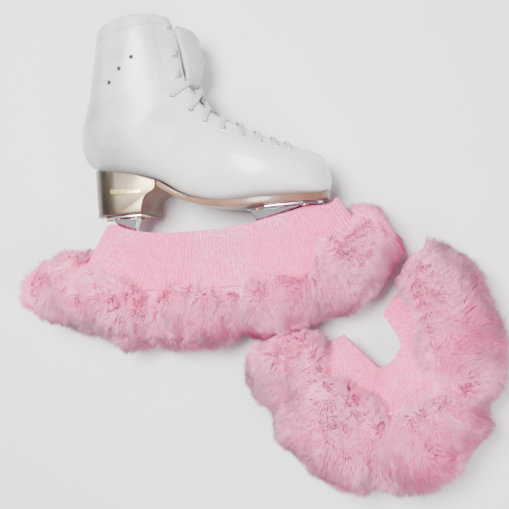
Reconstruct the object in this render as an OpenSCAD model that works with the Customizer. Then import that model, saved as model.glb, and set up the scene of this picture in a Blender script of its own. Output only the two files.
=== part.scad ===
// A figure skate lying on its side, with a furry cover on its blade and a second cover beside it.
// X runs along the blade towards the toe, Y from the ice up to the collar, and Z up from the table.
// The origin is on the table, in the middle of the fitted cover's flat underside and in line with the
// middle of the blade. All sizes are in millimetres.

/* [Boot] */
// Length of the upper from the heel to the toe
boot_length = 268; // [220:1:325]
// Height of the collar's front corner above the blade's edge
boot_height = 252; // [210:1:305]
// Width of the upper across the ball of the foot
ball_width = 92; // [76:1:111]
// Width of the upper at the collar
collar_width = 88; // [73:1:106]
// Rise of the collar at its two sides
collar_rise = 5; // [3:0.5:8]
// Thickness of the outer leather
leather = 2.4; // [2:0.1:3]
// Thickness of the heel counter, toe puff and collar foam
stiffener = 1.5; // [1.2:0.1:1.9]
// Thickness of the lining
lining_wall = 1.6; // [1.3:0.1:2]

/* [Sole and heel] */
// Height of the outsole's bottom above the blade's edge
sole_height = 47; // [40:1:56]
// Thickness of the outsole
sole_thickness = 6; // [5:0.5:7.5]
// Width of the heel block
heel_width = 66; // [56:1:76]
// Thickness of the covering on the heel block's sides
heel_cover_wall = 1.6; // [1.3:0.1:2]
// Thickness of the lasting board
board_thickness = 2; // [1.5:0.1:2.5]
// Thickness of the footbed
footbed_thickness = 3; // [2.5:0.5:4]

/* [Lacing] */
// Number of eyelets on each side
eyelet_pairs = 8; // [6:1:9]
// Number of hooks on each side
hook_pairs = 3; // [2:1:4]
// Radius of an eyelet's hole
eyelet_hole = 2.2; // [2:0.1:2.6]
// Diameter of the lace
lace_diameter = 3; // [2.5:0.1:3.4]
// Half the throat's width at its toe end
throat_toe = 9; // [7.5:0.5:11]
// Half the throat's width at the ankle
throat_ankle = 17; // [14:0.5:20]
// Half the throat's width at the collar
throat_collar = 24; // [20:0.5:27]
// Thickness of the padded tongue
tongue_thickness = 10; // [8:0.5:12]

/* [Blade] */
// Length of the blade's runner
blade_length = 254; // [211:1:305]
// Thickness of the runner
runner_thickness = 4; // [3.4:0.1:4.8]
// Height of the runner
runner_height = 24; // [20:1:28]
// Radius of the rocker along the runner's edge
rocker_radius = 2130; // [1775:5:2556]
// Thickness of the two mounting plates
plate_thickness = 2.6; // [2.2:0.1:3.2]
// Width of a stanchion where it meets its plate
stanchion_width = 13; // [11:0.5:15]
// Diameter of a mounting screw
screw_diameter = 4; // [3.4:0.1:4.8]

/* [Covers] */
// Thickness of a cover's rib-knit cuff
cuff_wall = 3; // [2.5:0.1:3.6]
// Half the width of the pocket that holds the blade
pocket_half = 9.5; // [8:0.5:11.5]
// Thickness of a cover's towelling lining
towel_wall = 1.2; // [1:0.1:1.5]
// Half the height of the fur above the table
fur_half = 38; // [32:1:46]

// Distance from the blade's edge down to the middle of the fitted cover's fur
fur_drop = 53; // [48:1:58]

/* [Hidden] */

// Space left between pieces that lie against each other
gap = 0.1;
ring_count = 28;
facet = 360 / ring_count;
mid_z = max(ball_width, collar_width) / 2;
kx = boot_length / 268;
ky = (boot_height - 53) / 199;
sole_top = sole_height + sole_thickness;

// Sections of the last from the toe to the collar: the lowest and foremost points of each, as distances
// along the sole and above the sole's top, half its width, how square its underside is, and how much of
// its width follows the collar.
LAST = [
    [126.5, 5, 127.5, 23, 10, 2.2, 0],
    [124, 1.5, 122.5, 39, 22, 2.6, 0],
    [116, 0, 112, 46, 31, 3, 0],
    [102, 0, 98, 51, 38, 3.2, 0],
    [84, 0, 80, 58.5, 43, 3.2, 0],
    [62, 0, 58, 69, 46, 3.2, 0],
    [40, 0, 38, 81, 45.5, 3.2, 0],
    [20, 0.5, 22, 91.5, 43, 3.2, 0],
    [2, 3.5, 12, 99, 40, 3.2, 0],
    [-16, 9, 6, 105.5, 38, 3.2, 0],
    [-33, 17.5, 2, 111.5, 36.5, 3, 0],
    [-50, 29, 0, 117, 35.5, 2.8, 0],
    [-72, 37, -1, 122, 35, 2.6, 0],
    [-98, 42.5, -2, 127, 34.5, 2.4, 0.1],
    [-120, 47, -3, 131.5, 34.5, 2.3, 0.2],
    [-133, 55, -4, 135, 35, 2.2, 0.3],
    [-138.5, 66, -5, 139, 35.5, 2.2, 0.4],
    [-140.4, 79, -6, 144, 36, 2.2, 0.5],
    [-138.5, 95, -7, 150, 36.5, 2.2, 0.6],
    [-133, 110, -8, 156, 37.5, 2.2, 0.7],
    [-127.5, 127, -9.5, 164, 39, 2.2, 0.8],
    [-123, 145, -11.5, 173, 41, 2.2, 0.9],
    [-119, 162, -13.5, 182, 42.5, 2.2, 1],
    [-116, 176, -16.5, 190, 43.5, 2.2, 1],
    [-114, 188, -20, 197, 44, 2.2, 1]
];
TOP = len(LAST) - 1;

// Interpolates a row of the LAST table at any place along it
function row(i) =
    let (a = min(floor(i), TOP - 1), f = i - a)
    LAST[a] * (1 - f) + LAST[a + 1] * f;
function power(v, e) = sign(v) * pow(abs(v), e);

// A point of the upper: section i, angle a from its front towards +Z, and depth d below its outside
function skin_point(i, a, d) =
    let (
        r = row(i),
        low = [r[0] * kx, r[1] * ky + sole_top],
        high = [r[2] * kx, r[3] * ky + sole_top],
        width = r[4] * ((1 - r[6]) * ball_width / 92 + r[6] * collar_width / 88),
        half = norm(high - low) / 2,
        up = (high - low) / (2 * half),
        e = 2 / (cos(a) < 0 ? r[5] : 2.1),
        c = power(cos(a), e) * (half - d),
        s = power(sin(a), e) * (width - d),
        toe = max(0, (r[2] - 70) / 57.5),
        mid = (low + high) / 2,
        rise = collar_rise * pow(i / TOP, 10) * pow(sin(a), 2)
    )
    [mid[0] + up[0] * c - d * toe, mid[1] + up[1] * c + rise, mid_z + s];
function skin_normal(i, a) =
    let (
        u = skin_point(i + 0.2, a, 0) - skin_point(i - 0.2, a, 0),
        v = skin_point(i, a + 1, 0) - skin_point(i, a - 1, 0),
        n = cross(u, v)
    )
    n / norm(n);

// Joins closed rings of points into one solid. An end is closed by a strip across it, from each point of
// the ring's first half to the one that faces it in the second, so a curved end stays whole.
module skin(rings) {
    n = len(rings[0]);
    last = (len(rings) - 1) * n;
    sides = [for (i = [0 : len(rings) - 2]) for (j = [0 : n - 1]) let (k = (j + 1) % n)
        each [[i * n + j, (i + 1) * n + j, i * n + k], [(i + 1) * n + j, (i + 1) * n + k, i * n + k]]];
    strip = [for (j = [0 : n / 2 - 2]) each [[j, j + 1, n - 1 - j], [j + 1, n - 2 - j, n - 1 - j]]];
    polyhedron(
        [for (r = rings) each r],
        concat(
            strip,
            sides,
            [for (t = strip) [last + t[2], last + t[1], last + t[0]]]
        ),
        convexity = 8
    );
}
// A layer of the upper all round, closed at the toe and open at the collar
module cup(outside, inside) {
    function ring(i, d) = [for (j = [0 : ring_count - 1]) skin_point(i, -j * 360 / ring_count, d)];
    skin(concat([for (i = [0 : TOP]) ring(i, outside)], [for (i = [TOP : -1 : 0]) ring(i, inside)]));
}
// A layer of the upper between two sections and two angles, which may change along it. Its corners lie on
// the same lines as those of a cup, so that layers nest.
module patch(first, last, from, to, outside, inside) {
    count = round((to[0] - from[0]) / facet);
    sections = concat([first], [for (i = [floor(first) + 1 : ceil(last) - 1]) i], [last]);
    skin([for (i = sections)
        let (
            k = (i - first) / (last - first),
            a = from[0] + (from[1] - from[0]) * k,
            b = to[0] + (to[1] - to[0]) * k
        )
        concat(
            [for (j = [0 : count]) skin_point(i, b + (a - b) * j / count, outside)],
            [for (j = [0 : count]) skin_point(i, a + (b - a) * j / count, inside)]
        )]);
}
// Puts its children on the upper's outside, with +Z pointing away from it
module on_skin(i, a, d = 0) {
    n = skin_normal(i, a);
    translate(skin_point(i, a, d)) rotate([0, acos(n[2]), atan2(n[1], n[0])]) children();
}

// The throat: a tapered cut down the instep and another up the shaft
INSTEP = [[100 * kx, 50 * ky + sole_top], [0, 119 * ky + sole_top], [-22 * kx, 215 * ky + sole_top]];
module throat_part(a, b, wide_a, wide_b, depth) {
    length = norm(b - a);
    translate([a[0], a[1], mid_z]) rotate([0, 0, atan2(b[1] - a[1], b[0] - a[0])])
        translate([0, depth, 0]) rotate([90, 0, 0])
            linear_extrude(depth + 40) polygon([
                [0, -wide_a], [length, -wide_b], [length + 6, -wide_b],
                [length + 6, wide_b], [length, wide_b], [0, wide_a]
            ]);
}
module throat() {
    slope = atan2(INSTEP[1][1] - INSTEP[0][1], INSTEP[1][0] - INSTEP[0][0]);
    throat_part(INSTEP[0], INSTEP[1], throat_toe, throat_ankle, 28);
    throat_part(INSTEP[1], INSTEP[2], throat_ankle, throat_collar, 24);
    translate([INSTEP[0][0], INSTEP[0][1], mid_z]) rotate([0, 0, slope])
        translate([0, 17, 0]) rotate([90, 0, 0]) cylinder(r = throat_toe, h = 57, $fn = 24);
}
layer_2 = leather + 3 * gap;
layer_3 = layer_2 + stiffener + 4 * gap;
layer_4 = layer_3 + lining_wall + 3 * gap;

// Where the eyelets, hooks and vents sit
function eyelet_at(k) = let (t = k / (eyelet_pairs - 1)) 3.4 + 4.6 * t + 6 * pow(t, 4);
function eyelet_angle(k) = 42 + 12 * k / (eyelet_pairs - 1);
function hook_at(k) = 17 + 5.7 * k / (hook_pairs - 1);
hook_angle = 42;
VENTS = [[19.7, 110], [20.3, 99], [20.7, 87]];
vent_r = 1.6;
module eyelet_places() {
    for (k = [0 : eyelet_pairs - 1]) for (side = [-1, 1])
        on_skin(eyelet_at(k), side * eyelet_angle(k)) children();
}
module vent_places() {
    for (v = VENTS) for (side = [-1, 1]) on_skin(v[0], side * v[1]) children();
}

// One layer of the upper, with its throat, its eyelet holes and its vent holes
module pierced_cup(outside, inside) {
    difference() {
        cup(outside, inside);
        throat();
        eyelet_places() translate([0, 0, -9]) cylinder(r = eyelet_hole + 0.7 + gap, h = 14, $fn = 20);
        vent_places() translate([0, 0, -9]) cylinder(r = vent_r + gap, h = 12, $fn = 16);
    }
}
// The outer leather is a vamp over the toes and two quarters, which meet behind the heel and under the sole.
// The seam between vamp and quarters rises from the sole to the toe end of the throat.
SEAM_FOOT = [8 * kx, sole_top - 50 * ky];
SEAM_HEAD = SEAM_FOOT + [416 * kx, 400 * ky];
module vamp() {
    color("white") intersection() {
        pierced_cup(0, leather);
        translate([0, 0, -10]) linear_extrude(200)
            polygon([SEAM_FOOT, [SEAM_HEAD[0], SEAM_FOOT[1]], SEAM_HEAD]);
    }
}
module quarter(side) {
    color("white") intersection() {
        pierced_cup(0, leather);
        translate([-gap, gap, side > 0 ? mid_z + gap / 2 : mid_z - 100 - gap / 2]) linear_extrude(100)
            polygon([SEAM_FOOT, SEAM_HEAD, [-400, SEAM_HEAD[1]], [-400, SEAM_FOOT[1]]]);
    }
}
module toe_puff() {
    color("beige") patch(1, 3, [-8, -8] * facet, [8, 8] * facet, layer_2, layer_2 + stiffener);
}
module heel_counter() {
    color("tan") patch(12, 19, [8, 8] * facet, [20, 20] * facet, layer_2, layer_2 + stiffener);
}
module collar_foam() {
    color("lightyellow") patch(21.2, TOP, [4, 4] * facet, [24, 24] * facet, layer_2, layer_2 + stiffener);
}
module upper_lining() {
    color("whitesmoke") pierced_cup(layer_3, layer_3 + lining_wall);
}
module lasting_board() {
    color("burlywood")
        patch(1.5, 14, [11, 11] * facet, [17, 17] * facet, layer_4, layer_4 + board_thickness);
}
module footbed() {
    d = layer_4 + board_thickness + 3 * gap;
    color("lightgray") patch(1.5, 14, [11, 11] * facet, [17, 17] * facet, d, d + footbed_thickness);
}

// The tongue hangs under the facings, and bends where it leaves the highest lace
tongue_depth = layer_4 + lace_diameter + 2.8 * ball_width / 92;
module tongue_lower() {
    color("white") patch(3.2, 13.4, [-2, -2] * facet, [2, 2] * facet, tongue_depth, tongue_depth + 5);
}
module tongue_upper() {
    color("white") patch(15.6, 22.4, [-20, -27], [20, 27], -4.5, tongue_thickness - 4.5);
}

// One eyelet: a flange on the leather and a barrel through the two layers
module eyelet() {
    difference() {
        union() {
            translate([0, 0, gap]) cylinder(r = eyelet_hole + 1.5, h = 0.8, $fn = 24);
            translate([0, 0, -layer_4]) cylinder(r = eyelet_hole + 0.7, h = layer_4 + 0.5, $fn = 24);
        }
        translate([0, 0, -layer_4 - 1]) cylinder(r = eyelet_hole, h = layer_4 + 3, $fn = 24);
    }
}
module lace_eyelets() {
    color("gainsboro") eyelet_places() translate([0, 0, 0.8]) eyelet();
}
module vent_eyelets() {
    color("dimgray") vent_places() difference() {
        union() {
            translate([0, 0, gap]) cylinder(r = vent_r + 0.7, h = 0.6, $fn = 24);
            translate([0, 0, -layer_4]) cylinder(r = vent_r, h = layer_4 + 0.4, $fn = 24);
        }
        translate([0, 0, -layer_4 - 1]) cylinder(r = 1, h = layer_4 + 3, $fn = 24);
    }
}
// One hook: a riveted foot, a neck and a curled tongue of metal
module hook() {
    cylinder(r = 3.6, h = 1, $fn = 24);
    translate([-1.6, -2, 0.5]) cube([1.4, 4, 5]);
    translate([-1.6, -2.6, 4.4]) cube([7, 5.2, 1.1]);
}
module hooks(side) {
    color("silver") for (k = [0 : hook_pairs - 1]) on_skin(hook_at(k), side * hook_angle)
        translate([0, 0, 0.6]) hook();
}

// The lace: up through an eyelet, over the throat, under the other facing and up its next eyelet. The two
// strands start from a bar under the lowest eyelets and end tucked in over the facings at the ankle.
lace_r = lace_diameter / 2;
lace_under = layer_4 + lace_r + 0.6;
lace_over = -lace_r - 0.4;
function eyelet_point(k, side, d) = skin_point(eyelet_at(k), side * eyelet_angle(k), 0)
    - d * skin_normal(eyelet_at(k), side * eyelet_angle(k));
// The angle of the throat's edge at a section
function throat_angle(i) =
    let (half = throat_toe + (throat_ankle - throat_toe) * max(0, min(1, 1 - row(i)[2] / 100)))
    asin(pow(half / (row(i)[4] * ball_width / 92), 1.05));
function lace_step(k, side) =
    let (at = eyelet_at(k) + 0.2, mid = (eyelet_at(k) + eyelet_at(k + 1)) / 2, late = mid + 0.35)
    [
        eyelet_point(k, side, lace_under),
        eyelet_point(k, side, lace_over - 2.3),
        skin_point(at, side * (throat_angle(at) + 1), lace_over - 1.4),
        skin_point(mid, 0, side > 0 ? lace_over + 1.4 : lace_over + 5.4),
        skin_point(late, -side * (throat_angle(late) - 5), lace_under + 0.4)
    ];
function lace_end(side) =
    let (k = eyelet_pairs - 1, i = eyelet_at(k))
    [
        eyelet_point(k, side, lace_under),
        eyelet_point(k, side, lace_over - 2.3),
        skin_point(i + 0.5, side * (throat_angle(i) + 1), lace_over - 1.4),
        skin_point(i + 0.9, side * (throat_angle(i) - 6), 3)
    ];
function backwards(points) = [for (p = [len(points) - 1 : -1 : 0]) points[p]];
function strand(side) = concat(
    [for (k = [0 : eyelet_pairs - 2]) each lace_step(k, k % 2 == 0 ? side : -side)],
    lace_end(eyelet_pairs % 2 == 0 ? -side : side)
);
LACE = concat(
    backwards(strand(1)),
    [for (j = [1.4, 0, -1.4]) skin_point(eyelet_at(0), j * facet, lace_under + 0.3)],
    strand(-1)
);
module tube(points, r, sides) {
    last = len(points) - 1;
    skin([for (i = [0 : last])
        let (
            ahead = points[min(i + 1, last)] - points[max(i - 1, 0)],
            t = ahead / norm(ahead),
            u = cross(t, abs(t[2]) < 0.9 ? [0, 0, 1] : [1, 0, 0]),
            x = u / norm(u),
            y = cross(t, x)
        )
        [for (j = [0 : sides - 1]) points[i] + r * (cos(j * 360 / sides) * x + sin(j * 360 / sides) * y)]]);
}
module lace() {
    color("white") tube(LACE, lace_r, 8);
}
module lace_tips() {
    color("white") for (ends = [[LACE[0], LACE[1]], [LACE[len(LACE) - 1], LACE[len(LACE) - 2]]]) {
        out = (ends[0] - ends[1]) / norm(ends[0] - ends[1]);
        tube([ends[0] + out * gap, ends[0] + out * 7], lace_r + 0.2, 10);
    }
}

// Side outlines of the sole, as distances along it and heights above the blade's edge
function sole_line(drop) =
    [for (i = [0 : 0.5 : 11]) let (r = row(i)) [r[0] * kx, r[1] * ky + sole_top - drop]];
heel_bottom = sole_height + 3;
heel_back = -126 * kx;
heel_front = -67 * kx;
SOLE_UNDER = sole_line(sole_thickness);
module side_outline(points) {
    translate([0, 0, mid_z - 100]) linear_extrude(200) polygon(points);
}
module seen_from_below(low, high) {
    translate([0, low, mid_z]) rotate([-90, 0, 0]) linear_extrude(high - low) children();
}
HEEL_SCREWS = [[-116, 0], [-100, 13], [-100, -13], [-80, 13], [-80, -13]];
SOLE_SCREWS = [[52, 12], [52, -12], [78, 19], [78, -19], [102, 19], [102, -19]];
screw_r = screw_diameter / 2;
screw_head = 1.3;
module at_screws(places) {
    for (p = places) translate([p[0] * kx, 0, mid_z + p[1]]) children();
}
module outsole() {
    kw = ball_width / 92;
    widths = [
        [-50, 29], [-20, 29], [10, 35], [40, 42], [62, 44], [84, 41.5], [102, 36], [116, 28], [124, 19],
        [127.5, 8]
    ];
    color("saddlebrown") difference() {
        intersection() {
            side_outline(concat(
                sole_line(gap),
                [for (i = [len(SOLE_UNDER) - 1 : -1 : 1]) SOLE_UNDER[i]],
                [[125 * kx, sole_height + 1.5]]
            ));
            seen_from_below(0, 120) polygon(concat(
                [for (w = widths) [w[0] * kx, w[1] * kw]],
                [for (i = [len(widths) - 1 : -1 : 0]) [widths[i][0] * kx, -widths[i][1] * kw]]
            ));
        }
        at_screws(SOLE_SCREWS) translate([0, sole_height - 2, 0]) rotate([-90, 0, 0])
            cylinder(r = screw_r + gap / 2, h = 7, $fn = 24);
    }
}
// The heel block: its side outline, with a hollow breast, and its outline from below
module heel_side() {
    breast = [heel_front, heel_bottom];
    waist = [-48 * kx, heel_bottom + 22 * ky];
    side_outline(concat(
        [[heel_back + 1.5, heel_bottom], breast],
        [for (t = [0.15 : 0.17 : 0.84]) breast + (waist - breast) * t + [-4, 5] * sin(t * 180) * 1.1],
        [[-50 * kx - gap, 29 * ky + sole_top - sole_thickness - 1]],
        [[-50 * kx - gap, 29 * ky + sole_top - gap]],
        [for (i = [12 : 14]) let (r = row(i)) [r[0] * kx, r[1] * ky + sole_top - gap]],
        [[-127 * kx, 48 * ky + sole_top]]
    ));
}
module heel_plan(inset) {
    r = heel_width / 2 - inset;
    translate([heel_back + heel_width / 2, 0]) circle(r = r, $fn = 64);
    translate([heel_back + heel_width / 2, -r]) square([120, 2 * r]);
}
module heel_block() {
    color("sienna") difference() {
        intersection() {
            heel_side();
            seen_from_below(0, 160) heel_plan(heel_cover_wall + gap);
        }
        at_screws(HEEL_SCREWS) translate([0, heel_bottom - 1, 0]) rotate([-90, 0, 0])
            cylinder(r = screw_r + gap / 2, h = 17, $fn = 24);
    }
}
module heel_cover() {
    color("rosybrown") difference() {
        intersection() {
            heel_side();
            seen_from_below(0, 160) heel_plan(0);
        }
        seen_from_below(0, 160) heel_plan(heel_cover_wall);
    }
}
module heel_badge() {
    y = heel_bottom + 21 * ky;
    color("goldenrod") translate([-97 * kx, y, mid_z + heel_width / 2 + gap]) rotate([0, 0, -4])
        linear_extrude(1.2) hull() for (x = [0, 29]) translate([x, 2.5]) circle(2.5, $fn = 24);
}

// The blade: two plates, two stanchions and the runner with its toe picks
heel_plate_under = heel_bottom - plate_thickness - gap;
sole_plate_under = sole_height - plate_thickness - gap;
module heel_plate() {
    color("silver") difference() {
        seen_from_below(heel_plate_under, heel_bottom - gap) intersection() {
            union() {
                translate([-101 * kx, 0]) circle(r = 20, $fn = 48);
                translate([-101 * kx, -20]) square([29 * kx, 40]);
            }
        }
        at_screws(HEEL_SCREWS) rotate([-90, 0, 0]) cylinder(r = screw_r + 0.3, h = 80, $fn = 24);
    }
}
module sole_plate() {
    widths = [[40, 11], [52, 17], [62, 25], [76, 24], [88, 23], [100, 26], [110, 19], [119, 8]];
    color("silver") difference() {
        seen_from_below(sole_plate_under, sole_height - gap) polygon(concat(
            [for (w = widths) [w[0] * kx, w[1]]],
            [for (i = [len(widths) - 1 : -1 : 0]) [widths[i][0] * kx, -widths[i][1]]]
        ));
        at_screws(SOLE_SCREWS) rotate([-90, 0, 0]) cylinder(r = screw_r + 0.3, h = 80, $fn = 24);
    }
}
// A stanchion: its outline from the side, thinned down to the runner
module stanchion(outline, top) {
    half = stanchion_width / 2;
    thin = runner_thickness / 2;
    intersection() {
        side_outline(outline);
        translate([-300, 0, mid_z]) rotate([90, 0, 90]) linear_extrude(600) polygon([
            [runner_height, -thin], [runner_height + 5, -thin - 0.5], [top - 4, -half + 1], [top, -half],
            [top, half], [top - 4, half - 1], [runner_height + 5, thin + 0.5], [runner_height, thin]
        ]);
    }
}
// Each stanchion is placed by the boot at its head and by the blade at its foot
kb = blade_length / 254;
function hollow_curve(a, b, bow) =
    [for (t = [0 : 0.125 : 1]) a + (b - a) * t + bow * sin(t * 180)];
module heel_stanchion() {
    top = heel_plate_under - gap;
    color("silver") stanchion(concat(
        hollow_curve([-110 * kx, top], [-95 * kb, runner_height + gap], [3, -3]),
        hollow_curve([-86 * kb, runner_height + gap], [-80 * kx, top], [-1.5, 0.5])
    ), top);
}
module sole_stanchion() {
    top = sole_plate_under - gap;
    color("silver") stanchion(concat(
        hollow_curve([42 * kx, top], [47 * kb, runner_height + gap], [3, 0]),
        hollow_curve([70 * kb, runner_height + gap], [96 * kx, top], [-5, 4])
    ), top);
}
function edge(x) = rocker_radius - sqrt(pow(rocker_radius, 2) - pow(x, 2));
module runner() {
    half = blade_length / 2;
    tail = [
        [-half + 30, runner_height], [-half + 10, runner_height - 4], [-half + 1, runner_height - 9],
        [-half, edge(half) + 6], [-half + 4, edge(half) + 1]
    ];
    picks = [for (k = [0 : 4]) each [
        [half - 18 + k * 4, edge(half) + 1 + k * 2.2], [half - 15.5 + k * 4, edge(half) - 2 + k * 2.4]
    ]];
    toe = [[half, edge(half) + 12], [half - 2, runner_height - 3], [half - 10, runner_height]];
    color("silver") translate([0, 0, mid_z - runner_thickness / 2]) linear_extrude(runner_thickness)
        polygon(concat(tail, [for (x = [-half + 10 : 8 : half - 22]) [x, edge(x)]], picks, toe));
}
module plate_screw(length) {
    difference() {
        union() {
            rotate([-90, 0, 0]) cylinder(r = screw_r, h = length, $fn = 24);
            rotate([-90, 0, 0]) cylinder(r = screw_r + 1.7, h = screw_head, $fn = 24);
        }
        translate([-0.4, -0.1, -3]) cube([0.8, 0.7, 6]);
        translate([-3, -0.1, -0.4]) cube([6, 0.7, 0.8]);
    }
}
module heel_screws() {
    color("darkgoldenrod") at_screws(HEEL_SCREWS)
        translate([0, heel_plate_under - screw_head - gap, 0]) plate_screw(17);
}
module sole_screws() {
    color("darkgoldenrod") at_screws(SOLE_SCREWS)
        translate([0, sole_plate_under - screw_head - gap, 0]) plate_screw(8);
}

// The fitted cover's cuff, as seen from the side, and the pocket inside it
CUFF_TOP = [
    [-143, 9], [-117, 42], [-108, 41], [-90, 33], [-60, 27], [-20, 26], [20, 27.5], [50, 31],
    [85, 38], [104, 42], [125, 42.5], [130, 49], [135, 49], [144, 36]
];
CUFF_UNDER = [[142, 10], [120, -18], [90, -30], [-90, -32], [-125, -22], [-142, -4]];
POCKET = [
    [-136, 8], [-117, 60], [130, 60], [138, 36], [134, 4], [118, -3], [90, -6], [-100, -6], [-128, -2]
];
function stretched(points) = [for (p = points) [p[0] * blade_length / 254, p[1]]];
// The cuff's rim passes under the sole as far as the sole reaches
function under_sole(p) = p[0] < 128 * kx ? [p[0], min(p[1], sole_plate_under - 1.5)] : p;
module pocket_solid(inset) {
    translate([0, 0, mid_z - pocket_half + inset]) linear_extrude(2 * (pocket_half - inset))
        polygon(stretched(POCKET));
}
module cuff_solid(half) {
    translate([0, 0, mid_z - half]) linear_extrude(2 * half)
        polygon(concat([for (p = stretched(CUFF_TOP)) under_sole(p)], stretched(CUFF_UNDER)));
}
module fitted_cuff() {
    color("hotpink") difference() {
        cuff_solid(pocket_half + cuff_wall);
        pocket_solid(0);
    }
}
module fitted_lining() {
    color("pink") difference() {
        intersection() {
            pocket_solid(gap);
            cuff_solid(pocket_half + cuff_wall);
            translate([-400, -60, 0]) cube([800, 92, 200]);
        }
        translate([0, 0, mid_z - pocket_half + towel_wall]) linear_extrude(2 * (pocket_half - towel_wall))
            polygon([for (p = stretched(POCKET)) [p[0] * 0.988, p[1] < 40 ? p[1] * 0.9 + towel_wall : p[1]]]);
    }
}

// A cover's fur: rings across a path on the table, each with a place, a half width and a half height
FUR_SIDES = 20;
module fur_roll(path) {
    last = len(path) - 1;
    difference() {
        skin([for (i = [0 : last])
            let (
                ahead = path[min(i + 1, last)] - path[max(i - 1, 0)],
                t = [ahead[0], ahead[1]] / norm([ahead[0], ahead[1]]),
                across = [-t[1], t[0]],
                r = path[i][2],
                h = fur_half * path[i][3]
            )
            [for (j = [0 : FUR_SIDES - 1]) let (a = j * 360 / FUR_SIDES)
                [
                    path[i][0] + across[0] * r * cos(a),
                    path[i][1] + across[1] * r * cos(a),
                    fur_half - 3 + h * sin(a)
                ]]]);
        translate([-600, -600, -100]) cube([1200, 1200, 100]);
    }
}
FITTED_PATH = [
    [-219, -40, 8, 0.35], [-213, -36, 22, 0.7], [-198, -28, 34, 0.9], [-172, -25, 40, 1],
    [-142, -34, 41, 1.02], [-112, -48, 40, 1], [-80, -56, 39, 1.02], [-45, -57, 37, 0.98],
    [-10, -53, 40, 1.03], [25, -54, 38, 1], [60, -50, 37, 1], [92, -44, 38, 1.02], [120, -30, 40, 1.03],
    [142, -12, 40, 1], [160, 3, 37, 0.96], [176, 12, 27, 0.8], [184, 16, 12, 0.45]
];
module fitted_fur() {
    color("pink") difference() {
        fur_roll([for (p = FITTED_PATH) [p[0] * blade_length / 254, p[1], p[2], p[3]]]);
        cuff_solid(pocket_half + cuff_wall + gap);
    }
}

// The spare cover curls round on itself: where its cuff starts inside the fur, and its free edge
SPARE_SEAM = [
    [84, -112], [96, -134], [112, -158], [132, -178], [160, -190], [196, -186], [222, -168],
    [236, -138], [241, -108], [238, -80], [224, -54], [210, -36]
];
SPARE_EDGE = [
    [128, -92], [136, -101], [146, -112], [155, -121], [163, -128], [172, -125], [181, -116],
    [186, -106], [184, -96], [178, -84], [172, -72], [180, -58]
];
SPARE_PATH = [
    [69, -101, 14, 0.4], [70, -105, 28, 0.7], [74, -116, 40, 0.9], [82, -136, 46, 1],
    [96, -164, 47, 1.02], [116, -190, 47, 1], [146, -209, 44, 1.03], [180, -212, 42, 1],
    [212, -196, 38, 1.02], [234, -166, 36, 1], [244, -132, 34, 1.02], [246, -98, 33, 1],
    [238, -68, 32, 1.02], [226, -44, 28, 0.95], [219, -31, 20, 0.75], [216, -26, 10, 0.4]
];
spare_z = fur_half - 3;
function channel_ring(i, back, front, outer, inner) =
    let (
        seam = SPARE_SEAM[i],
        edge = SPARE_EDGE[i],
        u = (edge - seam) / norm(edge - seam),
        a = seam + u * back,
        w = seam + u * (back + front),
        profile = [
            [edge, outer], [a, outer], [a, -outer], [edge, -outer],
            [edge, -inner], [w, -inner], [w, inner], [edge, inner]
        ]
    )
    [for (p = profile) [p[0][0], p[0][1], spare_z + p[1]]];
module channel(back, wall, outer) {
    skin([for (i = [0 : len(SPARE_SEAM) - 1]) channel_ring(i, back, wall, outer, outer - wall)]);
}
module spare_cuff() {
    color("hotpink") channel(0, cuff_wall, 4.5 + cuff_wall + towel_wall);
}
module spare_lining() {
    color("pink") channel(cuff_wall + gap, towel_wall, 4.5 + towel_wall - gap);
}
module spare_fur() {
    half = 4.5 + cuff_wall + towel_wall + gap;
    color("pink") difference() {
        fur_roll(SPARE_PATH);
        translate([0, 0, spare_z - half]) linear_extrude(2 * half) polygon(concat(
            SPARE_SEAM, [for (i = [len(SPARE_EDGE) - 1 : -1 : 0]) SPARE_EDGE[i]]
        ));
    }
}

// Every piece is modelled with the blade's edge at Y = 0, and moved up to clear the fur
module placed() {
    translate([0, fur_drop, 0]) children();
}
// The spare cover lies further off beside a longer blade
aside = 0.2 * (blade_length - 254);
module placed_aside() {
    placed() translate([aside, -aside, 0]) children();
}
placed() vamp();
placed() quarter(1);  // lateral_quarter
placed() quarter(-1);  // medial_quarter
placed() toe_puff();
placed() heel_counter();
placed() collar_foam();
placed() upper_lining();
placed() lasting_board();
placed() footbed();
placed() tongue_lower();
placed() tongue_upper();
placed() lace_eyelets();
placed() vent_eyelets();
placed() hooks(1);  // lateral_hooks
placed() hooks(-1);  // medial_hooks
placed() lace();
placed() lace_tips();
placed() outsole();
placed() heel_block();
placed() heel_cover();
placed() heel_badge();
placed() heel_plate();
placed() sole_plate();
placed() heel_stanchion();
placed() sole_stanchion();
placed() runner();
placed() heel_screws();
placed() sole_screws();
placed() fitted_cuff();
placed() fitted_lining();
placed() fitted_fur();
placed_aside() spare_cuff();
placed_aside() spare_lining();
placed_aside() spare_fur();
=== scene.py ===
from math import cos, pi, radians, sin

import bpy
import numpy as np
from mathutils import Matrix, Vector
from mathutils.kdtree import KDTree


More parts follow.
